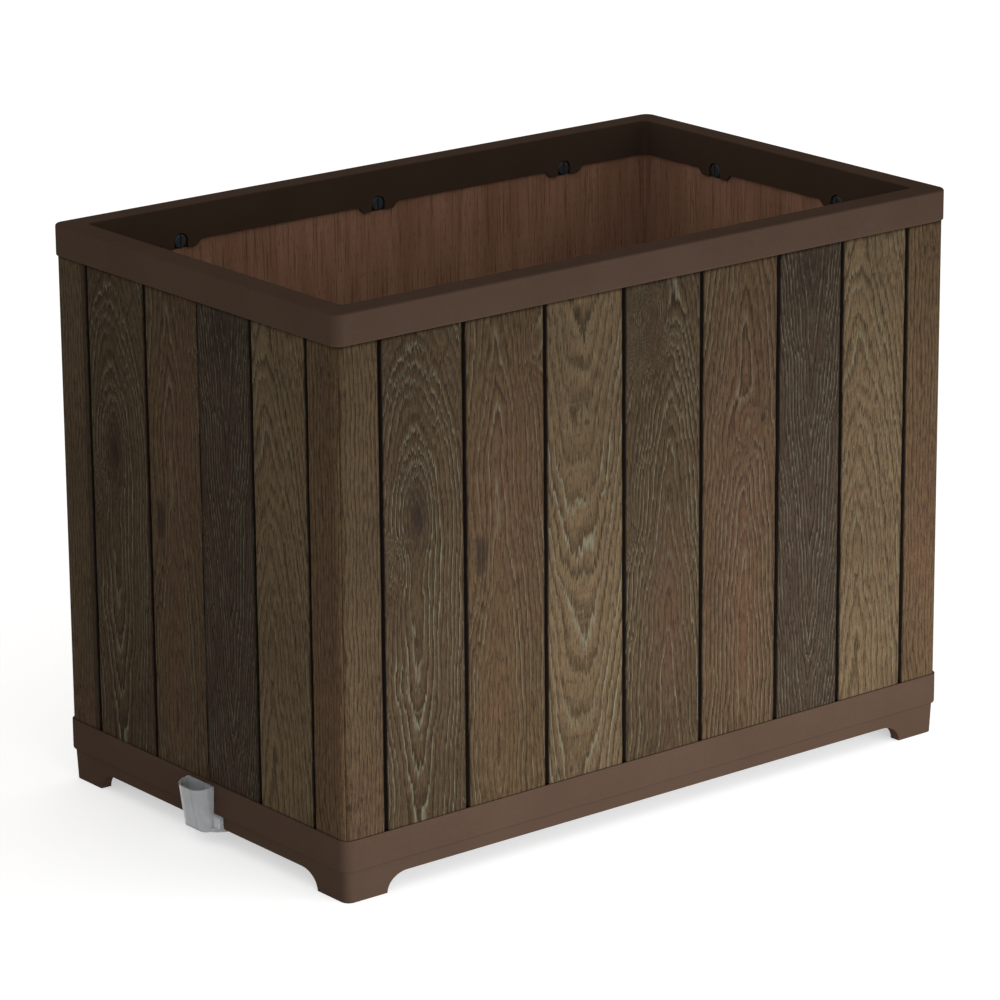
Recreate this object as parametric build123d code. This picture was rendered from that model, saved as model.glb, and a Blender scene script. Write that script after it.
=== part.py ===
from build123d import *
from math import atan2, degrees
import os

# Self-watering planter box with wood-look plank walls, millimetres.
# X runs along the long side, Y from front to back, Z up.
# Shapes are made about the middle of the box; main() then moves them all so that the
# frame's origin is on the ground under the middle of the whole, gauge included.

# Overall box
LENGTH = 812.0
WIDTH = 492.0
HEIGHT = 610.0
CORNER_R = 12.0

# Rim frame: an inverted channel that caps the walls
RIM_BOTTOM_Z = 576.0
RIM_TOP_THICK = 3.0
RIM_FLANGE_THICK = 2.0
RIM_INNER_INSET = 27.0
RIM_INNER_R = 6.0
SKIRT_THICK = 2.5
SKIRT_BOTTOM_Z = 571.0
TAB_BOTTOM_Z = 564.0
TAB_TOP_HALF = 29.5
TAB_BOTTOM_HALF = 17.0
RIM_TOP_EDGE_R = 3.0
RIM_INNER_EDGE_R = 1.5
RIM_BOTTOM_EDGE_R = 1.7

# Rim screws and the pockets that their heads sit in
LONG_SCREW_X = (-261.0, 0.0, 261.0)
SHORT_SCREW_Y = (-100.0, 100.0)
SCREW_Z = 571.5
POCKET_HALF = 8.9
POCKET_DEPTH = 4.0
POCKET_WALL = 2.0
POCKET_GAP = 0.5
HEAD_R = 7.5
HEAD_THICK = 3.2
HEAD_EDGE_R = 1.2
SLOT_WIDTH = 1.6
SLOT_DEPTH = 1.2
SHANK_R = 3.0
SHANK_LENGTH = 15.0
SHANK_GAP = 0.1

# Walls: plank panels between L-shaped corner posts
WALL_INSET = 2.3
WALL_THICK = 22.0
WALL_BOTTOM_Z = 41.4
WALL_TOP_Z = 606.6
LONG_BOARDS = (104.0, 103.5, 103.0, 104.5, 105.0, 89.5, 92.0)
SHORT_BOARDS = (104.0, 93.0, 90.0, 92.0)
LONG_START = 51.2
SHORT_START = 51.7
GROOVE_WIDTH = 5.0
GROOVE_DEPTH = 6.0
LIP_R = 1.0
SEAM_WIDTH = 1.6
SEAM_DEPTH = 1.2
TIGHT_SEAM = 2
SKIN = 2.5
CHAMBER_TOP_Z = 552.0
TONGUE_HALF = 3.0
TONGUE_LENGTH = 7.0
TONGUE_GAP = 0.2
POST_INNER_R = 3.0
POST_CHAMBER = 14.0
JOINT_GAP = 0.1
LUG_OFFSET = 4.0
LUG_LENGTH = 20.0
LUG_HEIGHT = 4.0
LUG_REACH = 2.4
LUG_Z = 70.0
LUG_GAP = 0.3

# Base tray: band, reservoir, plinth and feet in one moulding
BAND_TOP_Z = 67.6
BAND_BOTTOM_Z = 33.2
BAND_LIP = 1.6
BAND_EDGE_R = 2.9
LIP_EDGE_R = 0.7
CHANNEL_FLOOR_Z = 41.0
CHANNEL_UNDER_Z = 38.0
UPSTAND_OUT_INSET = 24.7
UPSTAND_IN_INSET = 27.5
UPSTAND_TOP_Z = 76.0
PLINTH_TOP_INSET = 3.0
FOOT_INSET = 4.3
PLINTH_BOTTOM_Z = 19.6
PLINTH_WALL = 4.0
FOOT_THICK = 12.5
FOOT_LONG = 55.0
FOOT_SHORT = 53.5
COVE = 25.0
FLOOR_THICK = 3.0
CHANNEL_R = 6.0
RESERVOIR_R = 4.0
UNDERSIDE_R = 2.0
COLUMN_X = (-285.0, -95.0, 95.0, 285.0)
COLUMN_Y = (-125.0, 125.0)
COLUMN_R = 20.0
COLUMN_TOP_R = 17.0
COLUMN_WALL = 2.5

# Soil platform: the slotted false floor over the reservoir
PLATFORM_INSET = 28.3
PLATFORM_Z = 73.0
PLATFORM_THICK = 3.0
PLATFORM_R = 5.0
DRAIN_LENGTH = 34.0
DRAIN_WIDTH = 4.0
DRAIN_PITCH_X = 48.0
DRAIN_PITCH_Y = 42.0
DRAIN_COLUMNS = 15
DRAIN_ROWS = 9

# Wick baskets that hang through the platform into the water
BASKET_X = 192.0
BASKET_TOP = 80.0
BASKET_BOTTOM = 64.0
BASKET_FLANGE = 94.0
BASKET_FLANGE_THICK = 2.0
BASKET_FLANGE_R = 4.0
BASKET_BOTTOM_Z = 27.0
BASKET_WALL = 2.0
BASKET_CORNER_R = 6.0
BASKET_HOLE = 82.0
BASKET_DRAIN_GAP = 3.0
WICK_SLOT_WIDTH = 3.0
WICK_SLOT_RISE = 4.0
WICK_SLOT_HEIGHT = 24.0
WICK_SLOT_PITCH = 12.0

# Clear level gauge: a cup outside the band, piped through the plinth
GAUGE_GAP = 0.4
GAUGE_HALF = 23.0
GAUGE_DEPTH = 22.0
GAUGE_R = 17.0
GAUGE_BACK_R = 0.6
GAUGE_FOOT_DEPTH = 11.5
GAUGE_FOOT_HALF = 20.5
GAUGE_FOOT_R = 9.0
GAUGE_TOP_Z = 64.5
GAUGE_LIP_DROP = 3.0
GAUGE_BOTTOM_Z = 15.0
GAUGE_WALL = 1.8
GAUGE_DISC_R = 33.5
GAUGE_DISC_X = -384.0
GAUGE_DISC_THICK = 4.2
BLOCK_HALF = 32.0
BLOCK_DEPTH = 14.0
BLOCK_BOTTOM_Z = 20.0
BLOCK_GAP = 0.4
DUCT_HALF = 9.0
NOTCH_HALF = 32.5
SPIGOT_Z = 29.6
SPIGOT_R = 3.2
SPIGOT_BORE_R = 2.0
SPIGOT_LENGTH = 20.0
SEAL_GAP = 0.05
SEAL_NECK_R = 5.4
SEAL_FLANGE_R = 6.9
SEAL_FLANGE_THICK = 1.5

HALF_L = LENGTH / 2
HALF_W = WIDTH / 2
THROUGH = 2 * LENGTH
# How far a cut runs past a face, and a joined piece runs into its neighbour
PAST = 1.0
# Distances under which two places count as the same
TOUCH = 0.01
NEAR_ARC = 0.6


def box(x0, x1, y0, y1, z0, z1):
    """Axis-aligned block from its two corners."""
    middle = Pos((x0 + x1) / 2, (y0 + y1) / 2, (z0 + z1) / 2)
    return middle * Box(x1 - x0, y1 - y0, z1 - z0)


def slab(inset, radius, z0, z1):
    """Rounded rectangle of the box's plan, drawn in by inset, from z0 to z1."""
    outline = RectangleRounded(LENGTH - 2 * inset, WIDTH - 2 * inset, radius)
    return Pos(0, 0, z0) * extrude(outline, z1 - z0)


def ring(inset_out, radius_out, inset_in, radius_in, z0, z1):
    """Closed frame between two insets of the plan."""
    hole = slab(inset_in, radius_in, z0 - PAST, z1 + PAST)
    return slab(inset_out, radius_out, z0, z1) - hole


def on_side(side, along):
    """Placement on one wall: local x along the wall, y towards the inside, z up."""
    turn = {"front": 0, "right": 90, "back": 180, "left": 270}[side]
    half = HALF_W if side in ("front", "back") else HALF_L
    return Rot(0, 0, turn) * Pos(along, -half, 0)


def screw_places():
    """Wall placement of every rim screw, ten in all."""
    places = []
    for x in LONG_SCREW_X:
        places.append(on_side("front", x))
        places.append(on_side("back", x))
    for y in SHORT_SCREW_Y:
        places.append(on_side("left", y))
        places.append(on_side("right", y))
    return places


def arch(half, bottom, thick_from, thick_to):
    """Inverted U that stands on bottom, its round top centred on the screw."""
    outline = rect(-half, half, bottom - SCREW_Z, 0)
    outline += Circle(half) & rect(-half, half, 0, half)
    return Pos(0, thick_to, SCREW_Z) * Rot(90, 0, 0) * extrude(outline, thick_to - thick_from)


def tab_plate():
    """Scalloped tab of the rim's skirt, S-curved on both sides."""
    drop = SKIRT_BOTTOM_Z - TAB_BOTTOM_Z
    left = Spline((-TAB_TOP_HALF, 0), (-TAB_BOTTOM_HALF, -drop), tangents=[(1, 0), (1, 0)])
    foot = Line((-TAB_BOTTOM_HALF, -drop), (TAB_BOTTOM_HALF, -drop))
    right = Spline((TAB_BOTTOM_HALF, -drop), (TAB_TOP_HALF, 0), tangents=[(1, 0), (1, 0)])
    top = Polyline((TAB_TOP_HALF, 0), (TAB_TOP_HALF, 2), (-TAB_TOP_HALF, 2), (-TAB_TOP_HALF, 0))
    outline = make_face(Curve() + [left, foot, right, top])
    place = Pos(0, RIM_INNER_INSET, SKIRT_BOTTOM_Z) * Rot(90, 0, 0)
    return place * extrude(outline, SKIRT_THICK)


def make_rim_frame():
    """Channel that caps the walls, with a pocketed tab inside at every screw."""
    top_z = HEIGHT - RIM_TOP_THICK
    skirt_out = RIM_INNER_INSET - SKIRT_THICK
    body = slab(0, CORNER_R, RIM_BOTTOM_Z, HEIGHT)
    body = fillet(body.edges().group_by(Axis.Z)[-1], RIM_TOP_EDGE_R)
    body -= slab(RIM_FLANGE_THICK, CORNER_R - RIM_FLANGE_THICK, RIM_BOTTOM_Z - PAST, top_z)
    outer_foot = [e for e in body.edges().group_by(Axis.Z)[0] if on_outline(e)]
    body = fillet(outer_foot, RIM_BOTTOM_EDGE_R)
    opening = slab(RIM_INNER_INSET, RIM_INNER_R, top_z - PAST, HEIGHT + PAST)
    body -= opening
    inner_top = [e for e in body.edges().group_by(Axis.Z)[-1] if not on_outline(e, RIM_TOP_EDGE_R)]
    body = fillet(inner_top, RIM_INNER_EDGE_R)
    body += ring(skirt_out, RIM_INNER_R + SKIRT_THICK, RIM_INNER_INSET, RIM_INNER_R,
                 SKIRT_BOTTOM_Z, top_z)
    back = RIM_INNER_INSET - POCKET_DEPTH - POCKET_WALL
    for place in screw_places():
        body += place * tab_plate()
        body += place * arch(POCKET_HALF + POCKET_WALL, TAB_BOTTOM_Z, back, RIM_INNER_INSET)
        body -= place * arch(POCKET_HALF, TAB_BOTTOM_Z - PAST, back + POCKET_WALL,
                             RIM_INNER_INSET + PAST)
        hole = Pos(0, RIM_INNER_INSET, SCREW_Z) * Rot(90, 0, 0)
        body -= place * hole * extrude(Circle(SHANK_R + SHANK_GAP), RIM_INNER_INSET - back + PAST)
    return body


def on_outline(edge, inset=0.0):
    """True for an edge that runs along the box's outer plan at the given inset."""
    at = edge.center()
    far_x = abs(at.X) > HALF_L - inset - CORNER_R
    far_y = abs(at.Y) > HALF_W - inset - CORNER_R
    near_x = abs(abs(at.X) - (HALF_L - inset)) < TOUCH
    near_y = abs(abs(at.Y) - (HALF_W - inset)) < TOUCH
    corner = far_x and far_y and corner_distance(at) > CORNER_R - inset - NEAR_ARC
    return near_x or near_y or corner


def corner_distance(at):
    """Distance of a point from the centre of its corner's rounding."""
    dx = abs(at.X) - (HALF_L - CORNER_R)
    dy = abs(at.Y) - (HALF_W - CORNER_R)
    return (dx * dx + dy * dy) ** 0.5


def make_rim_screws():
    """Slotted head in the pocket, shank out through the panel's inner skin."""
    head = extrude(Circle(HEAD_R), HEAD_THICK)
    head = fillet(head.edges().group_by(Axis.Z)[-1], HEAD_EDGE_R)
    slot = Pos(0, 0, HEAD_THICK - SLOT_DEPTH / 2) * Box(SLOT_WIDTH, 3 * HEAD_R, SLOT_DEPTH)
    screw = head - slot + extrude(Circle(SHANK_R), -SHANK_LENGTH)
    seat = Pos(0, RIM_INNER_INSET - POCKET_DEPTH, SCREW_Z) * Rot(-90, 0, 0)
    return Compound([place * seat * screw for place in screw_places()])


def boundaries(start, half, boards):
    """Groove centres along a wall, from its left end seen from outside."""
    places = [start - half]
    for width in boards:
        places.append(places[-1] + width)
    return places


def panel_section(grooves, tight):
    """Plank panel's plan: x along the wall, y inwards from the outer face."""
    first, last = grooves[0], grooves[-1]
    half_groove = GROOVE_WIDTH / 2
    outline = rect(first + JOINT_GAP, last - JOINT_GAP, 0, WALL_THICK)
    outline -= rect(first - PAST, first + half_groove, -PAST, GROOVE_DEPTH)
    outline -= rect(last - half_groove, last + PAST, -PAST, GROOVE_DEPTH)
    for i, x in enumerate(grooves[1:-1], start=1):
        wide = SEAM_WIDTH if i == tight else GROOVE_WIDTH
        deep = SEAM_DEPTH if i == tight else GROOVE_DEPTH
        outline -= rect(x - wide / 2, x + wide / 2, -PAST, deep)
    lips = [v for v in outline.vertices() if abs(v.Y) < TOUCH and not near(v.X, grooves, tight)]
    outline = fillet(lips, LIP_R)
    middle = WALL_THICK / 2 + GROOVE_DEPTH / 2
    for x in (first - TONGUE_LENGTH, last - PAST):
        outline += rect(x, x + TONGUE_LENGTH + PAST, middle - TONGUE_HALF, middle + TONGUE_HALF)
    return outline


def near(x, grooves, tight):
    """True next to the tight seam, whose lips stay sharp."""
    return tight is not None and abs(x - grooves[tight]) < SEAM_WIDTH


def rect(x0, x1, y0, y1):
    """Rectangle in the plan from its two corners."""
    return Pos((x0 + x1) / 2, (y0 + y1) / 2) * Rectangle(x1 - x0, y1 - y0)


def chamber_sections(grooves, tight):
    """Two hollow cores behind each board, open at the panel's foot."""
    cores = []
    clear = GROOVE_WIDTH / 2 + SKIN
    for x0, x1 in zip(grooves[:-1], grooves[1:]):
        middle = (x0 + x1) / 2
        cores.append(rect(x0 + clear, middle - SKIN / 2, SKIN, WALL_THICK - SKIN))
        cores.append(rect(middle + SKIN / 2, x1 - clear, SKIN, WALL_THICK - SKIN))
    return cores


def make_panel(side, start, half, boards, screws, tight=None):
    """Plank panel of one wall, cored from below, cut out round each screw pocket."""
    grooves = boundaries(start, half, boards)
    height = WALL_TOP_Z - WALL_BOTTOM_Z
    body = Pos(0, WALL_INSET, WALL_BOTTOM_Z) * extrude(panel_section(grooves, tight), height)
    for core in chamber_sections(grooves, tight):
        body -= Pos(0, WALL_INSET, WALL_BOTTOM_Z - PAST) * extrude(core, CHAMBER_TOP_Z - WALL_BOTTOM_Z)
    pocket_back = RIM_INNER_INSET - POCKET_DEPTH - POCKET_WALL - JOINT_GAP
    wide = POCKET_HALF + POCKET_WALL + POCKET_GAP
    inner = WALL_INSET + WALL_THICK + PAST
    shank_end = RIM_INNER_INSET - POCKET_DEPTH - SHANK_LENGTH - POCKET_GAP
    for x in screws:
        body -= box(x - wide, x + wide, pocket_back, inner, TAB_BOTTOM_Z - POCKET_GAP,
                    WALL_TOP_Z + PAST)
        hole = Pos(x, inner, SCREW_Z) * Rot(90, 0, 0)
        body -= hole * extrude(Circle(SHANK_R + SHANK_GAP), inner - shank_end)
    return on_side(side, 0) * body


def make_corner_post(front_leg, side_leg, mirrored):
    """L-shaped post of the front-left corner, or of the front-right if mirrored."""
    outer_r = CORNER_R - WALL_INSET
    thick = WALL_THICK
    end_x = front_leg - JOINT_GAP
    end_y = side_leg - JOINT_GAP
    outline = rect(0, end_x, 0, thick) + rect(0, thick, 0, end_y)
    outline = fillet(corner_vertex(outline, 0, 0), outer_r)
    outline = fillet(corner_vertex(outline, thick, thick), POST_INNER_R)
    half_groove = GROOVE_WIDTH / 2
    outline -= rect(front_leg - half_groove, end_x + PAST, -PAST, GROOVE_DEPTH)
    outline -= rect(-PAST, GROOVE_DEPTH, side_leg - half_groove, end_y + PAST)
    outline = fillet(corner_vertex(outline, front_leg - half_groove, 0), LIP_R)
    outline = fillet(corner_vertex(outline, 0, side_leg - half_groove), LIP_R)
    middle = thick / 2 + GROOVE_DEPTH / 2
    slot = TONGUE_HALF + TONGUE_GAP
    depth = TONGUE_LENGTH + TONGUE_GAP
    outline -= rect(front_leg - depth, end_x + PAST, middle - slot, middle + slot)
    outline -= rect(middle - slot, middle + slot, side_leg - depth, end_y + PAST)
    body = extrude(outline, WALL_TOP_Z - WALL_BOTTOM_Z)
    low = (thick - POST_CHAMBER) / 2
    core = rect(low, low + POST_CHAMBER, low, low + POST_CHAMBER)
    body -= Pos(0, 0, -PAST) * extrude(core, CHAMBER_TOP_Z - WALL_BOTTOM_Z)
    lug_from = thick + LUG_OFFSET
    lug_z = LUG_Z - WALL_BOTTOM_Z
    lug_to = lug_from + LUG_LENGTH
    body += box(lug_from, lug_to, thick - PAST, thick + LUG_REACH, lug_z, lug_z + LUG_HEIGHT)
    body += box(thick - PAST, thick + LUG_REACH, lug_from, lug_to, lug_z, lug_z + LUG_HEIGHT)
    body = Pos(-HALF_L + WALL_INSET, -HALF_W + WALL_INSET, WALL_BOTTOM_Z) * body
    return mirror(body, Plane.YZ) if mirrored else body


def corner_vertex(outline, x, y):
    """The outline's vertex nearest to a point."""
    return min(outline.vertices(), key=lambda v: (v.X - x) ** 2 + (v.Y - y) ** 2)


def lug_windows():
    """Windows in the reservoir wall that the posts' lugs click into."""
    inner = WALL_INSET + WALL_THICK
    low = inner + LUG_OFFSET - LUG_GAP
    high = inner + LUG_OFFSET + LUG_LENGTH + LUG_GAP
    z0 = LUG_Z - LUG_GAP
    z1 = LUG_Z + LUG_HEIGHT + LUG_GAP
    windows = []
    for sx in (-1, 1):
        for sy in (-1, 1):
            x = sorted((sx * (HALF_L - low), sx * (HALF_L - high)))
            y = sorted((sy * (HALF_W - inner), sy * (HALF_W - UPSTAND_IN_INSET - PAST)))
            windows.append(box(x[0], x[1], y[0], y[1], z0, z1))
            x = sorted((sx * (HALF_L - inner), sx * (HALF_L - UPSTAND_IN_INSET - PAST)))
            y = sorted((sy * (HALF_W - low), sy * (HALF_W - high)))
            windows.append(box(x[0], x[1], y[0], y[1], z0, z1))
    return windows


def cove_opening(half, along_x):
    """Arch between two feet, its ends quarter ellipses, cut right through."""
    straight = half - COVE
    outline = rect(-straight, straight, -PAST, PLINTH_BOTTOM_Z)
    for x in (-straight, straight):
        outline += Pos(x, 0) * Ellipse(COVE, PLINTH_BOTTOM_Z)
    bar = Pos(0, THROUGH / 2, 0) * Rot(90, 0, 0) * extrude(outline, THROUGH)
    return bar if along_x else Rot(0, 0, 90) * bar


def plinth_block():
    """Solid plinth, drawn in slightly towards the ground."""
    top = Pos(0, 0, BAND_BOTTOM_Z) * RectangleRounded(
        LENGTH - 2 * PLINTH_TOP_INSET, WIDTH - 2 * PLINTH_TOP_INSET, CORNER_R - PLINTH_TOP_INSET)
    foot = RectangleRounded(
        LENGTH - 2 * FOOT_INSET, WIDTH - 2 * FOOT_INSET, CORNER_R - PLINTH_TOP_INSET)
    return loft([foot, top])


def make_base_tray():
    """Band, wall channel, reservoir, plinth and corner feet in one moulding."""
    body = tray_block() - wall_channel() - tray_underside()
    body -= cove_opening(HALF_L - FOOT_LONG, True)
    body -= cove_opening(HALF_W - FOOT_SHORT, False)
    body += column_set(COLUMN_R, COLUMN_TOP_R, 0, PLATFORM_Z)
    body -= column_set(COLUMN_R - COLUMN_WALL, COLUMN_TOP_R - COLUMN_WALL,
                       -PAST, PLATFORM_Z - COLUMN_WALL)
    body -= lug_windows()
    return body - gauge_port()


def tray_block():
    """Tray before hollowing from below: band over plinth, upstand round the reservoir."""
    band = slab(0, CORNER_R, BAND_BOTTOM_Z, BAND_TOP_Z)
    band = fillet(band.edges().group_by(Axis.Z)[0], BAND_EDGE_R)
    band = fillet(band.edges().group_by(Axis.Z)[-1], LIP_EDGE_R)
    upstand = ring(UPSTAND_OUT_INSET, CHANNEL_R, UPSTAND_IN_INSET, RESERVOIR_R,
                   CHANNEL_FLOOR_Z, UPSTAND_TOP_Z)
    reservoir = slab(UPSTAND_IN_INSET, RESERVOIR_R, PLINTH_BOTTOM_Z + FLOOR_THICK, HEIGHT)
    return band + plinth_block() + upstand - reservoir


def wall_channel():
    """Groove between the band's lip and the upstand, where the walls stand."""
    return ring(BAND_LIP, CORNER_R - BAND_LIP, UPSTAND_OUT_INSET, CHANNEL_R,
                CHANNEL_FLOOR_Z, HEIGHT)


def tray_underside():
    """Hollows under the tray, which leave thin walls between four solid feet."""
    foot_inner = FOOT_INSET + FOOT_THICK
    low = PLINTH_BOTTOM_Z - PAST
    open_middle = slab(foot_inner, UNDERSIDE_R, -PAST, PLINTH_BOTTOM_Z)
    under_channel = ring(foot_inner, UNDERSIDE_R, UPSTAND_OUT_INSET, CHANNEL_R,
                         low, CHANNEL_UNDER_Z)
    behind_plinth = ring(FOOT_INSET + PLINTH_WALL, UNDERSIDE_R, foot_inner + PAST,
                         UNDERSIDE_R, low, CHANNEL_UNDER_Z)
    between_x = HALF_L - FOOT_LONG
    between_y = HALF_W - FOOT_SHORT
    hollow = open_middle + under_channel
    hollow += behind_plinth & box(-between_x, between_x, -HALF_W, HALF_W, 0, HEIGHT)
    return hollow + (behind_plinth & box(-HALF_L, HALF_L, -between_y, between_y, 0, HEIGHT))


def gauge_port():
    """Notch in the plinth for the gauge's block, and the hole for its grommet."""
    foot_inner = FOOT_INSET + FOOT_THICK
    notch = box(-HALF_L - PAST, -HALF_L + foot_inner + PAST, -NOTCH_HALF, NOTCH_HALF,
                PLINTH_BOTTOM_Z - PAST, BAND_BOTTOM_Z)
    port = Pos(-HALF_L + foot_inner, 0, SPIGOT_Z) * Rot(0, 90, 0)
    return notch + port * extrude(Circle(SEAL_NECK_R), UPSTAND_IN_INSET - foot_inner + PAST)


def column_set(radius, top_radius, z0, z1):
    """Cones that carry the platform's load down to the ground, eight in two rows."""
    cone = Cone(radius, top_radius, z1 - z0, align=(Align.CENTER, Align.CENTER, Align.MIN))
    return Part() + [Pos(x, y, z0) * cone for x in COLUMN_X for y in COLUMN_Y]


def make_soil_platform():
    """Slotted false floor with two basket holes."""
    top = PLATFORM_Z + PLATFORM_THICK
    body = slab(PLATFORM_INSET, PLATFORM_R, PLATFORM_Z, top)
    half = BASKET_HOLE / 2
    for side in (-1, 1):
        x = side * BASKET_X
        body -= box(x - half, x + half, -half, half, PLATFORM_Z - PAST, top + PAST)
    cuts = [place * Box(DRAIN_LENGTH, DRAIN_WIDTH, 4 * PLATFORM_THICK) for place in drain_places()]
    return body - cuts


def drain_places():
    """Slots of the platform, on a grid that leaves out the baskets and columns."""
    places = []
    keep_basket = BASKET_FLANGE / 2 + BASKET_DRAIN_GAP
    for i in range(DRAIN_COLUMNS):
        for j in range(DRAIN_ROWS):
            x = (i - (DRAIN_COLUMNS - 1) / 2) * DRAIN_PITCH_X
            y = (j - (DRAIN_ROWS - 1) / 2) * DRAIN_PITCH_Y
            over_basket = (abs(abs(x) - BASKET_X) < keep_basket + DRAIN_LENGTH / 2
                           and abs(y) < keep_basket)
            if not over_basket:
                places.append(Pos(x, y, PLATFORM_Z))
    return places


def make_wick_basket(side):
    """Square tapered cup with slots, its flange resting on the platform."""
    top = PLATFORM_Z + PLATFORM_THICK
    inner = BASKET_WALL
    outer_cup = square_loft(BASKET_BOTTOM, BASKET_BOTTOM_Z, BASKET_TOP, top)
    hollow = square_loft(BASKET_BOTTOM - 2 * inner, BASKET_BOTTOM_Z + inner,
                         BASKET_TOP - 2 * inner, top + BASKET_FLANGE_THICK + PAST)
    rim = RectangleRounded(BASKET_FLANGE, BASKET_FLANGE, BASKET_FLANGE_R)
    flange = Pos(0, 0, top) * extrude(rim, BASKET_FLANGE_THICK)
    body = outer_cup + flange - hollow
    z = BASKET_BOTTOM_Z + WICK_SLOT_RISE + WICK_SLOT_HEIGHT / 2
    for i in (-1.5, -0.5, 0.5, 1.5):
        offset = i * WICK_SLOT_PITCH
        body -= Pos(offset, 0, z) * Box(WICK_SLOT_WIDTH, 2 * BASKET_TOP, WICK_SLOT_HEIGHT)
        body -= Pos(0, offset, z) * Box(2 * BASKET_TOP, WICK_SLOT_WIDTH, WICK_SLOT_HEIGHT)
        body -= Pos(offset, 0, BASKET_BOTTOM_Z) * Box(WICK_SLOT_WIDTH, BASKET_BOTTOM / 2, 3 * inner)
    return Pos(side * BASKET_X, 0, 0) * body


def square_loft(low, z0, high, z1):
    """Square cup with rounded corners, widening upwards."""
    bottom = Pos(0, 0, z0) * RectangleRounded(low, low, BASKET_CORNER_R)
    top = Pos(0, 0, z1) * RectangleRounded(high, high, BASKET_CORNER_R)
    return loft([bottom, top])


def gauge_outline(depth, half, radius, shrink, z):
    """D-shaped section of the cup: flat at the band, round outwards."""
    back = -HALF_L - GAUGE_GAP - shrink
    front = -HALF_L - GAUGE_GAP - depth + shrink
    outline = rect(front, back, -half + shrink, half - shrink)
    outer = [v for v in outline.vertices() if v.X < (front + back) / 2]
    outline = fillet(outer, radius - shrink)
    inner = [v for v in outline.vertices() if v.X > back - TOUCH]
    return Pos(0, 0, z) * fillet(inner, GAUGE_BACK_R)


def gauge_cup(shrink, z0, z1):
    """Cup body between two heights, drawn in by shrink on every side."""
    foot = gauge_outline(GAUGE_FOOT_DEPTH, GAUGE_FOOT_HALF, GAUGE_FOOT_R, shrink, z0)
    lip = gauge_outline(GAUGE_DEPTH, GAUGE_HALF, GAUGE_R, shrink, z1)
    return loft([foot, lip])


def make_level_gauge():
    """Clear cup outside the band, joined by a duct and a spigot to the reservoir."""
    above = 4.0
    lip_z = GAUGE_TOP_Z + above
    cup = gauge_cup(0, GAUGE_BOTTOM_Z, lip_z)
    back = -HALF_L - GAUGE_GAP
    block_end = back + BLOCK_DEPTH
    block_top = BAND_BOTTOM_Z - BLOCK_GAP
    block = box(back - GAUGE_BACK_R, block_end, -BLOCK_HALF, BLOCK_HALF,
                GAUGE_BOTTOM_Z + GAUGE_DISC_THICK - JOINT_GAP, block_top)
    disc = Pos(GAUGE_DISC_X, 0, GAUGE_BOTTOM_Z) * extrude(Circle(GAUGE_DISC_R), GAUGE_DISC_THICK)
    disc &= box(-HALF_L - GAUGE_DEPTH, block_end, -HALF_W, HALF_W, 0, HEIGHT)
    spigot = Pos(block_end, 0, SPIGOT_Z) * Rot(0, 90, 0)
    body = cup + block + disc + spigot * extrude(Circle(SPIGOT_R), SPIGOT_LENGTH)
    body -= gauge_cup(GAUGE_WALL, GAUGE_BOTTOM_Z + GAUGE_WALL, lip_z + 0.1)
    body -= box(back - 3, block_end - GAUGE_WALL, -DUCT_HALF, DUCT_HALF,
                BLOCK_BOTTOM_Z + GAUGE_WALL, block_top - GAUGE_WALL)
    body -= spigot * Pos(0, 0, -GAUGE_WALL - 1) * extrude(Circle(SPIGOT_BORE_R), SPIGOT_LENGTH + 4)
    slope = Pos(back, 0, GAUGE_TOP_Z) * Rot(0, -lip_tilt(), 0)
    return body - slope * Pos(0, 0, above) * Box(THROUGH, THROUGH, 2 * above)


def lip_tilt():
    """Angle in degrees by which the cup's lip drops outwards."""
    return degrees(atan2(GAUGE_LIP_DROP, GAUGE_DEPTH))


def make_gauge_seal():
    """Grommet in the reservoir wall that grips the gauge's spigot."""
    wall_x = -HALF_L + UPSTAND_OUT_INSET
    wall = UPSTAND_IN_INSET - UPSTAND_OUT_INSET
    neck = extrude(Circle(SEAL_NECK_R - SEAL_GAP), wall)
    flange = extrude(Circle(SEAL_FLANGE_R), SEAL_FLANGE_THICK)
    body = neck + Pos(0, 0, -SEAL_FLANGE_THICK) * flange + Pos(0, 0, wall) * flange
    bore = extrude(Circle(SPIGOT_R + SEAL_GAP), wall + 4 * SEAL_FLANGE_THICK)
    body -= Pos(0, 0, -2 * SEAL_FLANGE_THICK) * bore
    return Pos(wall_x, 0, SPIGOT_Z) * Rot(0, 90, 0) * body


def walls():
    """Panels and posts; the back and right walls repeat the front and left."""
    wall_half_l = HALF_L - WALL_INSET
    wall_half_w = HALF_W - WALL_INSET
    long_end = 2 * wall_half_l - LONG_START - sum(LONG_BOARDS)
    short_end = 2 * wall_half_w - SHORT_START - sum(SHORT_BOARDS)
    half_turn = Rot(0, 0, 180)
    front = make_panel("front", LONG_START, wall_half_l, LONG_BOARDS, LONG_SCREW_X)
    left = make_panel("left", short_end, wall_half_w, SHORT_BOARDS, SHORT_SCREW_Y, TIGHT_SEAM)
    post_a = make_corner_post(LONG_START, SHORT_START, False)
    post_b = make_corner_post(long_end, short_end, True)
    return {
        "panel_front": front,
        "panel_back": half_turn * front,
        "panel_left": left,
        "panel_right": half_turn * left,
        "corner_post_front_left": post_a,
        "corner_post_back_right": half_turn * post_a,
        "corner_post_front_right": post_b,
        "corner_post_back_left": half_turn * post_b,
    }


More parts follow.
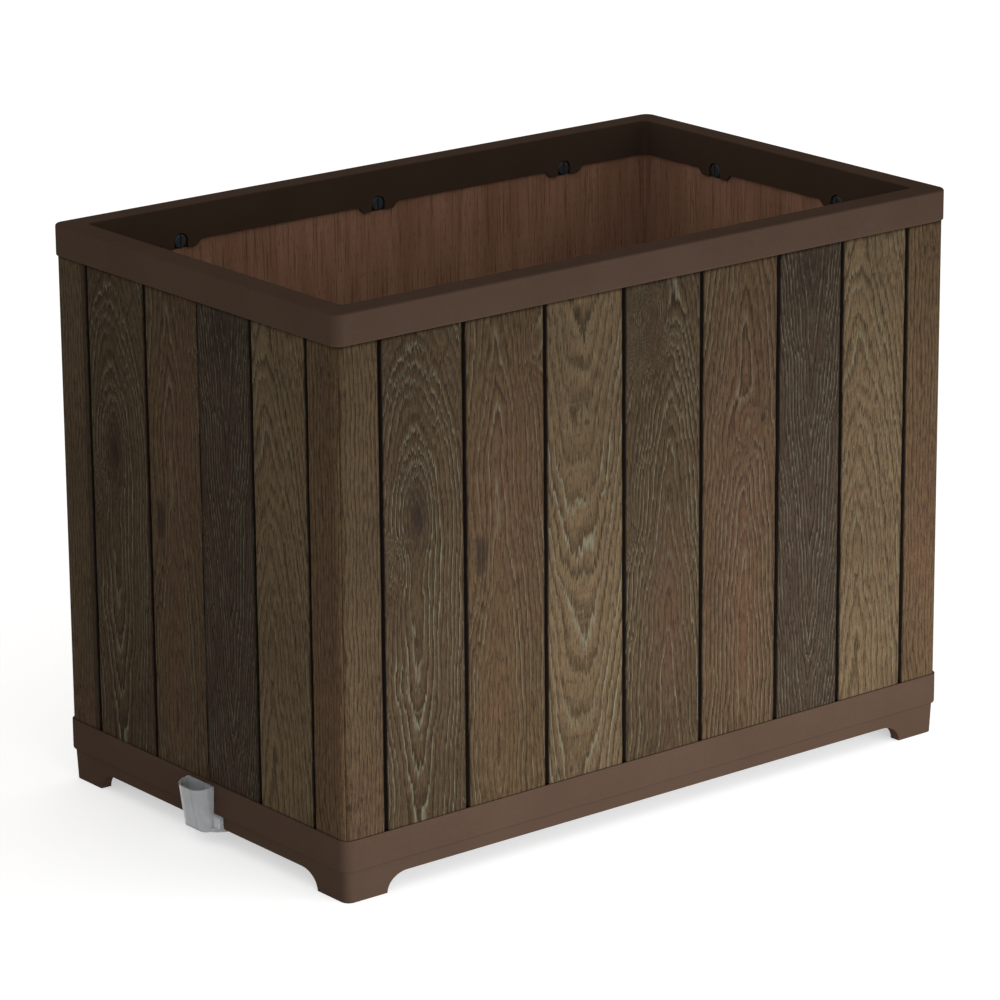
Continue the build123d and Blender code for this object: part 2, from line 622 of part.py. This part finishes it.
def main():
    """Write each piece, with the frame's origin on the ground under the middle of the whole."""
    os.makedirs("parts", exist_ok=True)
    nodes = walls()
    nodes["rim_frame"] = make_rim_frame()
    nodes["rim_screws"] = make_rim_screws()
    nodes["base_tray"] = make_base_tray()
    nodes["soil_platform"] = make_soil_platform()
    nodes["wick_basket_left"] = make_wick_basket(-1)
    nodes["wick_basket_right"] = make_wick_basket(1)
    nodes["level_gauge"] = make_level_gauge()
    nodes["gauge_seal"] = make_gauge_seal()
    low = min(shape.bounding_box().min.X for shape in nodes.values())
    high = max(shape.bounding_box().max.X for shape in nodes.values())
    to_frame = Pos(-(low + high) / 2, 0, 0)
    for name, shape in nodes.items():
        export_step(to_frame * shape, f"parts/{name}.step")


main()
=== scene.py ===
import math
import random

import bpy
from mathutils import Matrix, Vector


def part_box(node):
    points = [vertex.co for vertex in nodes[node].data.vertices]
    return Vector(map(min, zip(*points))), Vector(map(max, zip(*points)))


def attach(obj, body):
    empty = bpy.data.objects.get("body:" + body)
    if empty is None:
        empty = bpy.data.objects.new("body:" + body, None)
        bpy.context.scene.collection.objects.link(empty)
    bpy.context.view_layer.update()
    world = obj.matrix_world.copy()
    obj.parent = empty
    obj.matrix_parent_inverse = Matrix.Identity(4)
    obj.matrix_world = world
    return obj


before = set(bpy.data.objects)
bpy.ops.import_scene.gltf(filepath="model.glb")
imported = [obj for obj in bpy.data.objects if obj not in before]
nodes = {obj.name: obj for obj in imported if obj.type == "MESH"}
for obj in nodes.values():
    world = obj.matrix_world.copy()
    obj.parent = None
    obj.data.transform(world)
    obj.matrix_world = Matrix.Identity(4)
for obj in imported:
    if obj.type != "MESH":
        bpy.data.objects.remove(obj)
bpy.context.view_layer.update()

MM = 0.001
tray_low, tray_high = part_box("base_tray")
MIDDLE_X = (tray_low.x + tray_high.x) / 2
HALF_L = (tray_high.x - tray_low.x) / 2 / MM
HALF_W = (tray_high.y - tray_low.y) / 2 / MM
WALL_INSET = 2.3
WALL_HALF_L = HALF_L - WALL_INSET
WALL_HALF_W = HALF_W - WALL_INSET
RIM_BOTTOM = 576.0
BAND_TOP = 67.6


# ---------------------------------------------------------------- node helpers

class Graph:
    """Short calls for building one material's node tree."""

    def __init__(self, name):
        self.material = bpy.data.materials.new(name)
        self.material.use_nodes = True
        self.tree = self.material.node_tree
        self.tree.nodes.clear()
        self.shader = self.tree.nodes.new("ShaderNodeBsdfPrincipled")
        out = self.tree.nodes.new("ShaderNodeOutputMaterial")
        self.join(self.shader.outputs[0], out.inputs["Surface"])

    def join(self, a, b):
        self.tree.links.new(a, b)

    def feed(self, value, socket):
        """Link a socket in, or set a plain value."""
        if isinstance(value, bpy.types.NodeSocket):
            self.join(value, socket)
        else:
            socket.default_value = value

    def math(self, operation, *values):
        """One arithmetic step."""
        node = self.tree.nodes.new("ShaderNodeMath")
        node.operation = operation
        for value, socket in zip(values, node.inputs):
            self.feed(value, socket)
        return node.outputs[0]

    def position(self):
        """Object position, as x, y and z in millimetres."""
        coordinates = self.tree.nodes.new("ShaderNodeTexCoord")
        split = self.tree.nodes.new("ShaderNodeSeparateXYZ")
        self.join(coordinates.outputs["Object"], split.inputs[0])
        return [self.math("MULTIPLY", split.outputs[i], 1000.0) for i in range(3)]

    def across_and_up(self):
        """Place on a board from its UV map, in millimetres."""
        coordinates = self.tree.nodes.new("ShaderNodeTexCoord")
        split = self.tree.nodes.new("ShaderNodeSeparateXYZ")
        self.join(coordinates.outputs["UV"], split.inputs[0])
        return [self.math("MULTIPLY", split.outputs[i], 1000.0) for i in range(2)]

    def vector(self, x, y, z=0.0):
        """Three values as one place."""
        node = self.tree.nodes.new("ShaderNodeCombineXYZ")
        for value, socket in zip((x, y, z), node.inputs):
            self.feed(value, socket)
        return node.outputs[0]

    def noise(self, vector, scale=1.0, detail=2.0, rough=0.5):
        """Soft fractal noise, about 0.5 on average."""
        node = self.tree.nodes.new("ShaderNodeTexNoise")
        self.feed(vector, node.inputs["Vector"])
        node.inputs["Scale"].default_value = scale
        node.inputs["Detail"].default_value = detail
        node.inputs["Roughness"].default_value = rough
        return node.outputs["Fac"]

    def ramp(self, value, low, high, out_low=0.0, out_high=1.0):
        """Smooth step of value between low and high."""
        node = self.tree.nodes.new("ShaderNodeMapRange")
        node.interpolation_type = "SMOOTHSTEP"
        for v, socket in zip((value, low, high, out_low, out_high), node.inputs):
            self.feed(v, socket)
        return node.outputs[0]

    def mix(self, factor, a, b):
        """Colour a where factor is 0, b where it is 1."""
        node = self.tree.nodes.new("ShaderNodeMix")
        node.data_type = "RGBA"
        self.feed(factor, node.inputs["Factor"])
        for value, socket in ((a, node.inputs[6]), (b, node.inputs[7])):
            self.feed((*value, 1.0) if isinstance(value, tuple) else value, socket)
        return node.outputs[2]

    def bump(self, height, distance, strength=1.0):
        """Relief on the shader, its full height given in millimetres."""
        node = self.tree.nodes.new("ShaderNodeBump")
        node.inputs["Strength"].default_value = strength
        node.inputs["Distance"].default_value = distance * MM
        self.feed(height, node.inputs["Height"])
        self.join(node.outputs[0], self.shader.inputs["Normal"])

    def gauss(self, u, v, u0, v0, ru, rv):
        """Soft spot, 1 at its centre."""
        a = self.math("MULTIPLY", self.math("SUBTRACT", u, u0), 1 / ru)
        b = self.math("MULTIPLY", self.math("SUBTRACT", v, v0), 1 / rv)
        d = self.math("ADD", self.math("MULTIPLY", a, a), self.math("MULTIPLY", b, b))
        return self.math("EXPONENT", self.math("MULTIPLY", d, -1.0))

    def white(self, value):
        """One random number for each value."""
        node = self.tree.nodes.new("ShaderNodeTexWhiteNoise")
        node.noise_dimensions = "1D"
        self.feed(value, node.inputs["W"])
        return node.outputs["Value"]

    def set(self, **values):
        """Feed shader inputs by name, with _ for a space."""
        for key, value in values.items():
            self.feed(value, self.shader.inputs[key.replace("_", " ")])


def use(node, material):
    """Give a CAD node one material."""
    slots = nodes[node].material_slots
    for slot in slots:
        slot.material = material


# ---------------------------------------------------------------- printed boards

# One entry per board print. tone is its colour, ring the width of a growth ring, and lime
# how much lime its rings hold. The figure is nested ovals round (centre, up); stretch
# flattens them upwards, so that a small one gives long cathedrals, and slope tips them into
# arches (above 0) or valleys (below 0). below is the stretch under the centre, where it
# differs, a small point sharpens the peaks, and round blunts the innermost ones. spots bend
# the grain: (across, up, half width, half height, lift), a small lift being a dark knot. red
# and dark are stains, placed the same way. Millimetres, across from the board's left edge and
# up from the ground.
BOARDS = {
    "a": dict(width=51.2, tone=(0.0345, 0.0225, 0.0118), ring=5.0, lime=0.12, centre=-40.0, up=300.0,
              stretch=0.03, round=6.0, slope=0.0, spots=[(6, 102, 7, 12, 16), (21, 107, 4, 7, 9)],
              red=[(25, 80, 40, 60)]),
    "b": dict(width=104.0, tone=(0.0272, 0.0175, 0.0093), ring=4.8, lime=0.72, centre=42.0, up=380.0,
              stretch=0.30, below=0.10, round=8.0, slope=0.0, point=1.7,
              spots=[(-4, 335, 24, 30, 34), (44, 385, 16, 34, -7)], red=[], dark=[(44, 392, 15, 34)]),
    "c": dict(width=103.5, tone=(0.0340, 0.0215, 0.0107), ring=5.6, lime=0.50, centre=40.0, up=110.0,
              stretch=0.045, below=0.20, round=4.0, slope=0.05, point=1.4,
              spots=[(88, 535, 10, 30, 20), (20, 330, 20, 60, 9)],
              red=[(37, 162, 16, 50), (60, 400, 50, 160)]),
    "d": dict(width=103.0, tone=(0.0465, 0.0312, 0.0166), ring=7.0, lime=0.78, centre=45.0, up=330.0,
              stretch=0.02, round=25.0, slope=-0.15, point=3.2, spots=[], red=[]),
    "e": dict(width=104.0, tone=(0.0275, 0.0179, 0.0094), ring=5.0, lime=0.55, centre=60.0, up=250.0,
              stretch=0.06, round=8.0, slope=0.12, point=1.5,
              spots=[(-6, 537, 50, 34, 80), (-4, 330, 16, 26, 24)], red=[(60, 200, 22, 120)]),
    "f": dict(width=105.5, tone=(0.0358, 0.0216, 0.0114), ring=5.8, lime=0.42, centre=60.0, up=180.0,
              stretch=0.06, round=6.0, slope=0.06, point=1.4,
              spots=[(62, 397, 13, 30, 26), (84, 404, 7, 10, 16)],
              red=[(60, 180, 20, 90), (55, 330, 40, 120)]),
    "g": dict(width=89.0, tone=(0.0205, 0.0136, 0.0086), ring=4.4, lime=0.50, centre=47.0, up=300.0,
              stretch=0.02, round=2.0, slope=-0.11, point=1.4,
              spots=[(20, 210, 4, 8, 8), (70, 470, 4, 7, 8)], red=[], dark=[(45, 548, 38, 30)]),
    "h": dict(width=92.5, tone=(0.0495, 0.0335, 0.0178), ring=6.4, lime=0.50, centre=26.0, up=240.0,
              stretch=0.10, round=12.0, slope=0.14, point=1.6, spots=[], red=[]),
    "i": dict(width=54.7, tone=(0.0410, 0.0255, 0.0129), ring=5.0, lime=0.16, centre=95.0, up=300.0,
              stretch=0.03, round=6.0, slope=0.0, spots=[(26, 549, 6, 12, 10), (39, 547, 5, 8, 14)],
              red=[(28, 250, 30, 150)]),
}
LIME = (0.080, 0.081, 0.055)
# Pore colour, also used as the painted shade at the boards' side edges
PORE_AND_SHADE = (0.011, 0.0075, 0.0055)
RED = (0.047, 0.022, 0.0135)
# Spots that lift the grain no more than this are knots
KNOT_LIFT = 18
# How far the ends of the rings flicker up and down
FLAME = 30.0
# Early wood, late wood and bright fibres, as parts of a board's tone
EARLY_PART = 1.28
LATE_PART = 0.42
FIBRE_PART = 2.0
# Painted shade beside the grooves: a board darkens between these distances from its side edges
EDGE_SHADE_START = 4.4
EDGE_SHADE_FULL = 2.6


def stretched(g, u, v, across, up, seed, detail=2.0, rough=0.5):
    """Noise with its own frequency across and up the board, in cells per millimetre."""
    place = g.vector(g.math("MULTIPLY", u, across), g.math("MULTIPLY", v, up), seed)
    return g.noise(place, 1.0, detail, rough)


def grain_field(g, u, v, spec, seed):
    """A field whose level lines are the lines of the grain."""
    slow = stretched(g, u, v, 0.012, 0.006, seed)
    fine = stretched(g, u, v, 0.045, 0.018, seed + 7, 3.0)
    du = g.math("SUBTRACT", u, spec["centre"])
    above = g.math("MULTIPLY", g.math("SUBTRACT", v, spec["up"]), spec["stretch"])
    low_stretch = spec.get("below", spec["stretch"])
    below = g.math("MULTIPLY", g.math("SUBTRACT", spec["up"], v), low_stretch)
    dv = g.math("MAXIMUM", above, below)
    power = spec.get("point", 2.0)
    sideways = g.math("POWER", g.math("ADD", g.math("ABSOLUTE", du), 0.01), power)
    lengthways = g.math("POWER", g.math("ADD", dv, 0.01), power)
    total = g.math("ADD", g.math("ADD", sideways, lengthways), spec["round"] ** power)
    field = g.math("POWER", total, 1 / power)
    field = g.math("ADD", field, g.math("MULTIPLY", v, spec["slope"]))
    for across, up, half_u, half_v, lift in spec["spots"]:
        spot = g.gauss(u, v, across, up, half_u, half_v)
        field = g.math("ADD", field, g.math("MULTIPLY", spot, float(lift)))
    field = g.math("ADD", field, g.math("MULTIPLY", slow, 22.0))
    return g.math("ADD", field, g.math("MULTIPLY", fine, 9.0))


class Grain:
    """The maps that one board's print is mixed from."""

    def __init__(self, g, spec, seed):
        u, v = g.across_and_up()
        thread = stretched(g, u, v, 0.85, 0.012, seed + 21, 1.0)
        flame = g.math("MULTIPLY", g.math("SUBTRACT", thread, 0.5), FLAME)
        field = grain_field(g, u, g.math("ADD", v, flame), spec, seed)
        turns = g.math("MULTIPLY", field, 1 / spec["ring"])
        part = g.math("FRACT", turns)
        self.u, self.v = u, v
        self.fibre = stretched(g, u, v, 0.82, 0.060, seed + 9, 3.0, 0.75)
        self.pore = stretched(g, field, v, 1.05, 0.085, seed + 5, 1.0)
        self.patch = stretched(g, u, v, 0.035, 0.012, seed + 13)
        self.cloud = stretched(g, u, v, 0.016, 0.006, seed + 15)
        self.strength = g.white(g.math("ADD", g.math("FLOOR", turns), seed))
        self.early = g.math("MULTIPLY", g.ramp(part, 0.30, 0.08), g.ramp(part, 0.0, 0.06))
        self.late = g.ramp(part, 0.45, 0.96)


def stained(g, grain, colour, places, strength, stain):
    """Colour with soft stains at the board's listed places."""
    for across, up, half_u, half_v in places:
        spot = g.gauss(grain.u, grain.v, across, up, half_u, half_v)
        colour = g.mix(g.math("MULTIPLY", spot, strength), colour, stain)
    return colour


def wood_colour(g, grain, spec):
    """Rings, stains, fibres and pores, before the lime."""
    base = spec["tone"]
    light = tuple(EARLY_PART * c for c in base)
    dark = tuple(LATE_PART * c for c in base)
    latewood = g.math("MULTIPLY", grain.late, g.ramp(grain.strength, 0.0, 1.0, 0.55, 1.0))
    colour = g.mix(latewood, light, dark)
    colour = g.mix(g.ramp(grain.cloud, 0.35, 0.7, 0.0, 0.30), colour, dark)
    colour = stained(g, grain, colour, spec["red"], 0.36, RED)
    colour = stained(g, grain, colour, spec.get("dark", []), 0.6, PORE_AND_SHADE)
    colour = g.mix(g.ramp(grain.fibre, 0.50, 0.33, 0.0, 0.85), colour, PORE_AND_SHADE)
    bright = tuple(FIBRE_PART * c for c in base)
    colour = g.mix(g.ramp(grain.fibre, 0.52, 0.68, 0.0, 0.60), colour, bright)
    return g.mix(g.ramp(grain.pore, 0.40, 0.28, 0.0, 0.55), colour, PORE_AND_SHADE)


def lime_amount(g, grain, spec):
    """Lime left in the early edge of some rings, and in pores here and there."""
    kept = g.math("MULTIPLY", g.ramp(grain.strength, 0.15, 0.75, 0.15, 1.0),
                  g.ramp(grain.patch, 0.32, 0.52, 0.20, 1.0))
    in_rings = g.math("MULTIPLY", g.math("MULTIPLY", grain.early, kept),
                      g.ramp(grain.fibre, 0.30, 0.48, 0.35, 1.0))
    in_pores = g.math("MULTIPLY", g.ramp(grain.pore, 0.62, 0.72),
                      g.ramp(grain.patch, 0.40, 0.62, 0.10, 0.45))
    return g.math("MULTIPLY", g.math("MAXIMUM", in_rings, in_pores), spec["lime"])


def with_knots(g, grain, colour, spots):
    """Colour with a dark heart in each spot that is a knot."""
    for across, up, half_u, half_v, lift in spots:
        if lift <= KNOT_LIFT:
            heart = g.gauss(grain.u, grain.v, across, up, half_u * 0.5, half_v * 0.5)
            colour = g.mix(g.ramp(heart, 0.3, 0.9, 0.0, 0.7), colour, PORE_AND_SHADE)
    return colour


def board_material(key, spec):
    """Printed oak look: rings with flame edges, limed pores, short upright fibres, and painted shade
    at its side edges.
    """
    g = Graph("plank_print_" + key)
    grain = Grain(g, spec, 11.0 * (1 + sorted(BOARDS).index(key)))
    lime = lime_amount(g, grain, spec)
    colour = g.mix(lime, wood_colour(g, grain, spec), LIME)
    colour = with_knots(g, grain, colour, spec["spots"])
    # Painted shade: the board's colour darkens towards its side edges, beside the grooves
    edge = g.math("MINIMUM", grain.u, g.math("SUBTRACT", spec["width"], grain.u))
    colour = g.mix(g.ramp(edge, EDGE_SHADE_START, EDGE_SHADE_FULL, 0.0, 0.6), colour, PORE_AND_SHADE)
    g.set(Base_Color=colour, Roughness=g.ramp(grain.fibre, 0.3, 0.7, 0.80, 0.66))
    g.shader.inputs["Specular IOR Level"].default_value = 0.02
    relief = g.math("ADD", g.math("MULTIPLY", grain.late, 0.35),
                    g.math("MULTIPLY", grain.fibre, 0.6))
    g.bump(g.math("SUBTRACT", relief, g.math("MULTIPLY", lime, 0.3)), 0.45, 0.7)
    return g.material


SKIN_PROUD = 0.25
SKIN_DEEP = 1.2
SKIN_THICK = 0.9
# The skins reach this far below the band's top edge, and stop this far under the rim
SKIN_TUCK = 24.0
SKIN_CLEAR = 0.4
SKIN_LOW = BAND_TOP - SKIN_TUCK
SKIN_HIGH = RIM_BOTTOM - SKIN_CLEAR
ROW_STEP = 4.0
BEVEL = 1.0
GROOVE = 5.0
TIGHT_SEAM = 1.6
CORNER_R = 9.7
CORNER_STEPS = 6
FACE_COLUMNS = 8
# A skin is this much wider at each grooved edge than the gap beside it says
EDGE_SHIFT = 0.2


def wavy(rng, heights):
    """Small uneven run of offsets for a moulded board's edge."""
    shape = ((0.045, 0.26), (0.11, 0.16), (0.31, 0.12), (0.83, 0.08))
    waves = [(k, a, rng.uniform(0, 2 * math.pi)) for k, a in shape]
    return [sum(a * math.sin(k * z + p) for k, a, p in waves) for z in heights]


def groove_edge(x, inward):
    """Columns from down in the groove up on to the board's face, as (across, depth)."""
    return [(x, SKIN_DEEP), (x + inward * 0.35 * BEVEL, 0.15),
            (x + inward * BEVEL, -SKIN_PROUD), (x + inward * 1.8 * BEVEL, -SKIN_PROUD)]


def corner_edge(x, inward):
    """Columns from the middle of a rounded corner on to the face."""
    radius = CORNER_R + SKIN_PROUD
    centre = x + inward * CORNER_R
    columns = []
    for k in range(CORNER_STEPS + 1):
        turn = math.radians(45 - 45 / CORNER_STEPS * k)
        columns.append((centre - inward * radius * math.sin(turn), CORNER_R - radius * math.cos(turn)))
    return columns


def skin_rows(rng, left, right, left_corner, right_corner):
    """Heights up a board's face, and the (across, depth) columns of each row."""
    rows = int((SKIN_HIGH - SKIN_LOW) / ROW_STEP) + 1
    heights = [SKIN_LOW + (SKIN_HIGH - SKIN_LOW) * i / (rows - 1) for i in range(rows)]
    left_wave = wavy(rng, heights)
    right_wave = wavy(rng, heights)
    profiles = []
    for left_offset, right_offset in zip(left_wave, right_wave):
        low_x = left + left_offset - EDGE_SHIFT
        high_x = right + right_offset + EDGE_SHIFT
        low = corner_edge(left, 1) if left_corner else groove_edge(low_x, 1)
        high = corner_edge(right, -1) if right_corner else groove_edge(high_x, -1)
        x0, x1 = low[-1][0], high[-1][0]
        face = [(x0 + (x1 - x0) * k / FACE_COLUMNS, -SKIN_PROUD) for k in range(1, FACE_COLUMNS)]
        profiles.append(low + face + high[::-1])
    return heights, profiles


def skin_mesh(name, start, heights, profiles):
    """Mesh of a board's face. Its UV map gives its place on the board in metres."""
    vertices = []
    places = []
    for z, profile in zip(heights, profiles):
        vertices += [(x * MM, depth * MM, z * MM) for x, depth in profile]
        places += [((x - start) * MM, z * MM) for x, depth in profile]
    across = len(profiles[0])
    faces = [(a, a + 1, a + 1 + across, a + across)
             for i in range(len(heights) - 1) for a in range(i * across, i * across + across - 1)]
    mesh = bpy.data.meshes.new(name)
    mesh.from_pydata(vertices, [], faces)
    layer = mesh.uv_layers.new(name="place")
    for loop in mesh.loops:
        layer.data[loop.index].uv = places[loop.vertex_index]
    for polygon in mesh.polygons:
        polygon.use_smooth = True
    mesh.update()
    return mesh


def board_skin(name, key, start, left, right, place, left_corner, right_corner):
    """Printed face of one board, riding on the box."""
    heights, profiles = skin_rows(random.Random(name), left, right, left_corner, right_corner)
    mesh = skin_mesh(name, start, heights, profiles)
    piece = bpy.data.objects.new(name, mesh)
    bpy.context.scene.collection.objects.link(piece)
    piece.matrix_world = place
    mesh.materials.append(print_materials[key])
    back = piece.modifiers.new("thickness", "SOLIDIFY")
    back.thickness = SKIN_THICK * MM
    back.offset = -1.0
    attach(piece, "planter_box")


def board_wall(side, turn, x, y, edges, keys, tight=None):
    """All the board faces of one wall, left to right as seen from outside."""
    place = Matrix.Translation((MIDDLE_X + x * MM, y * MM, 0)) @ Matrix.Rotation(turn, 4, "Z")
    last = len(keys) - 1
    for i, key in enumerate(keys):
        gaps = [TIGHT_SEAM / 2 if edge == tight else GROOVE / 2 for edge in (i, i + 1)]
        left = edges[i] if i == 0 else edges[i] + gaps[0]
        right = edges[i + 1] if i == last else edges[i + 1] - gaps[1]
        board_skin(f"{side}_board_{i + 1}", key, edges[i], left, right, place, i == 0, i == last)


LONG_EDGES = [-WALL_HALF_L, -352.5, -248.5, -145.0, -42.0, 62.0, 167.5, 256.5, 349.0, WALL_HALF_L]
SHORT_EDGES = [-WALL_HALF_W, -187.0, -83.0, 10.0, 100.0, 192.0, WALL_HALF_W]
print_materials = {key: board_material(key, spec) for key, spec in BOARDS.items()}
board_wall("front", 0.0, 0.0, -WALL_HALF_W, LONG_EDGES, "abcdefghi")
board_wall("back", math.pi, 0.0, WALL_HALF_W, LONG_EDGES, "abcdefghi")
board_wall("left", -math.pi / 2, -WALL_HALF_L, 0.0, SHORT_EDGES, "abcghi", tight=3)
board_wall("right", math.pi / 2, WALL_HALF_L, 0.0, SHORT_EDGES, "abcghi", tight=3)


# ---------------------------------------------------------------- moulded parts

def moulded_brown():
    """Dark brown resin with a fine pebbled mould texture."""
    g = Graph("brown_resin_look")
    x, y, z = g.position()
    point = g.vector(x, y, z)
    pebble = g.noise(point, 0.75, 2.0, 0.55)
    grit = g.noise(point, 2.6, 1.0, 0.5)
    cloud = g.noise(point, 0.012, 3.0, 0.55)
    streaks = [g.math("MULTIPLY", a, k) for a, k in ((x, 0.05), (y, 0.05), (z, 0.4))]
    flow = g.noise(g.vector(*streaks))
    colour = g.mix(g.ramp(cloud, 0.3, 0.7), (0.0392, 0.0246, 0.0172), (0.0432, 0.0272, 0.0192))
    colour = g.mix(g.ramp(pebble, 0.35, 0.65, 0.0, 0.30), colour, (0.0295, 0.0182, 0.0125))
    colour = g.mix(g.ramp(flow, 0.5, 0.8, 0.0, 0.18), colour, (0.0490, 0.0312, 0.0222))
    g.set(Base_Color=colour, Roughness=g.ramp(pebble, 0.3, 0.7, 0.50, 0.62))
    g.shader.inputs["Specular IOR Level"].default_value = 0.0
    g.bump(g.math("ADD", pebble, g.math("MULTIPLY", grit, 0.35)), 0.22, 0.55)
    return g.material


def wall_core():
    """Unprinted reddish resin with moulded upright grain inside; on the outer side, painted shade
    makes the grooves between the boards near black.
    """
    g = Graph("plank_core_look")
    x, y, z = g.position()
    long_way = g.math("ADD", x, y)
    grain = stretched(g, long_way, z, 0.55, 0.012, 3.0, 4.0, 0.62)
    broad = stretched(g, long_way, z, 0.035, 0.004, 8.0)
    dots = stretched(g, long_way, z, 1.1, 0.09, 5.0, 1.0)
    colour = g.mix(g.ramp(broad, 0.3, 0.7), (0.180, 0.092, 0.056), (0.236, 0.128, 0.081))
    colour = g.mix(g.ramp(grain, 0.5, 0.34, 0.0, 0.6), colour, (0.060, 0.030, 0.019))
    colour = g.mix(g.ramp(dots, 0.40, 0.30, 0.0, 0.5), colour, (0.050, 0.026, 0.017))
    # Painted shade: the wall's outer side, seen in the grooves between the boards, is darkened to near
    # black
    from_middle = g.math("SUBTRACT", x, MIDDLE_X / MM)
    out_x = g.math("SUBTRACT", g.math("ABSOLUTE", from_middle), WALL_HALF_L - 12.0)
    out_y = g.math("SUBTRACT", g.math("ABSOLUTE", y), WALL_HALF_W - 12.0)
    outside = g.ramp(g.math("MAXIMUM", out_x, out_y), 0.0, 2.0)
    colour = g.mix(outside, colour, (0.012, 0.009, 0.007))
    g.set(Base_Color=colour, Roughness=g.ramp(grain, 0.3, 0.7, 0.60, 0.72))
    g.shader.inputs["Specular IOR Level"].default_value = 0.04
    g.bump(g.math("ADD", grain, g.math("MULTIPLY", dots, 0.4)), 0.35, 0.6)
    return g.material


def plain_resin(name, low, high, rough, grain_scale, bump):
    """Even resin or rubber between two close colours, with a fine grit."""
    g = Graph(name)
    point = g.vector(*g.position())
    grit = g.noise(point, grain_scale, 2.0, 0.5)
    cloud = g.noise(point, 0.02, 3.0, 0.5)
    colour = g.mix(g.ramp(cloud, 0.3, 0.7), low, high)
    colour = g.mix(g.ramp(grit, 0.4, 0.7, 0.0, 0.3), colour, tuple(0.6 * c for c in low))
    g.set(Base_Color=colour, Roughness=g.ramp(grit, 0.3, 0.7, rough - 0.06, rough + 0.06))
    g.bump(grit, bump, 0.5)
    return g.material


MOULD_LINE_Y = -7.0


def clear_look():
    """Clear resin with a smoky tint, faint flow lines and a mould line down its middle."""
    g = Graph("clear_resin_look")
    x, y, z = g.position()
    frost = g.noise(g.vector(x, y, z), 0.35, 3.0, 0.6)
    streaks = [g.math("MULTIPLY", a, k) for a, k in ((x, 0.2), (y, 0.5), (z, 0.04))]
    lines = g.noise(g.vector(*streaks))
    seam = g.ramp(g.math("ABSOLUTE", g.math("SUBTRACT", y, MOULD_LINE_Y)), 0.7, 0.3)
    colour = g.mix(g.ramp(frost, 0.3, 0.7), (0.50, 0.51, 0.52), (0.60, 0.61, 0.62))
    colour = g.mix(g.math("MULTIPLY", seam, 0.75), colour, (0.16, 0.16, 0.16))
    g.set(Base_Color=colour, Roughness=g.ramp(lines, 0.3, 0.7, 0.12, 0.26))
    g.shader.inputs["Transmission Weight"].default_value = 0.74
    g.shader.inputs["IOR"].default_value = 1.40
    g.bump(g.math("ADD", lines, g.math("MULTIPLY", seam, 0.8)), 0.25, 0.3)
    return g.material


brown = moulded_brown()
core = wall_core()
black = plain_resin("black_resin_look", (0.012, 0.012, 0.012), (0.018, 0.018, 0.018),
                    0.6, 0.8, 0.2)
slate = plain_resin("screw_nylon_look", (0.011, 0.016, 0.020), (0.018, 0.024, 0.029),
                    0.42, 1.2, 0.08)
rubber = plain_resin("seal_rubber_look", (0.010, 0.010, 0.010), (0.016, 0.016, 0.016),
                     0.75, 1.5, 0.1)
for node in ("rim_frame", "base_tray"):
    use(node, brown)
for node in nodes:
    if node.startswith(("panel_", "corner_post_")):
        use(node, core)
for node in ("soil_platform", "wick_basket_left", "wick_basket_right"):
    use(node, black)
use("rim_screws", slate)
use("gauge_seal", rubber)
use("level_gauge", clear_look())


# ---------------------------------------------------------------- stage, light, camera

def floor_look():
    """Pale studio floor, lit a little from within as a paper sweep on a light table is."""
    g = Graph("floor_look")
    point = g.vector(*g.position())
    cloud = g.noise(point, 0.002, 2.0, 0.5)
    g.set(Base_Color=g.mix(cloud, (0.59, 0.59, 0.59), (0.61, 0.61, 0.61)))
    g.shader.inputs["Roughness"].default_value = 0.9
    g.shader.inputs["Specular IOR Level"].default_value = 0.1
    g.shader.inputs["Emission Color"].default_value = (1.0, 1.0, 1.0, 1.0)
    g.shader.inputs["Emission Strength"].default_value = 0.50
    return g.material


bpy.ops.mesh.primitive_plane_add(size=40.0, location=(0, 0, 0))
floor = bpy.context.object
floor.name = "floor"
floor.data.materials.append(floor_look())

world = bpy.data.worlds.new("studio")
bpy.context.scene.world = world
world.use_nodes = True
background = world.node_tree.nodes["Background"]
background.inputs["Color"].default_value = (1.0, 0.99, 0.975, 1.0)
background.inputs["Strength"].default_value = 0.95
bpy.context.scene.view_settings.view_transform = "Standard"


def soft_light(name, place, aim, size, watts, colour):
    """Rectangular light that the camera doesn't see."""
    data = bpy.data.lights.new(name, "AREA")
    data.shape = "RECTANGLE"
    data.size, data.size_y = size
    data.energy = watts
    data.color = colour
    light = bpy.data.objects.new(name, data)
    light.location = place
    light.rotation_euler = (Vector(aim) - Vector(place)).to_track_quat("-Z", "Y").to_euler()
    light.visible_camera = False
    bpy.context.scene.collection.objects.link(light)


soft_light("low_front_key", (0.50, -0.82, 0.10), (0.50, -0.25, 0.10), (2.5, 0.18), 21.5,
           (0.97, 0.98, 1.0))


# Turns in degrees, place in metres from the ground under the box's middle, lens in millimetres
CAMERA_YAW = 38.599
CAMERA_PITCH = 16.956
CAMERA_ROLL = -0.461
CAMERA_PLACE = (-3.08517, -3.85290, 1.79197)
CAMERA_LENS = 174.05


def make_camera():
    """Long lens from the front left, looking down, fitted to the box's straight edges."""
    yaw, pitch, roll = (math.radians(a) for a in (CAMERA_YAW, CAMERA_PITCH, CAMERA_ROLL))
    flat = math.cos(pitch)
    forward = Vector((math.sin(yaw) * flat, math.cos(yaw) * flat, -math.sin(pitch)))
    level = Vector((math.cos(yaw), -math.sin(yaw), 0))
    upright = level.cross(forward)
    right = math.cos(roll) * level + math.sin(roll) * upright
    top = right.cross(forward)
    data = bpy.data.cameras.new("camera")
    data.lens = CAMERA_LENS
    data.sensor_width = 36.0
    camera = bpy.data.objects.new("camera", data)
    turn = Matrix((right, top, -forward)).transposed().to_4x4()
    place = Vector((MIDDLE_X, 0, 0)) + Vector(CAMERA_PLACE)
    camera.matrix_world = Matrix.Translation(place) @ turn
    bpy.context.scene.collection.objects.link(camera)
    bpy.context.scene.camera = camera


make_camera()
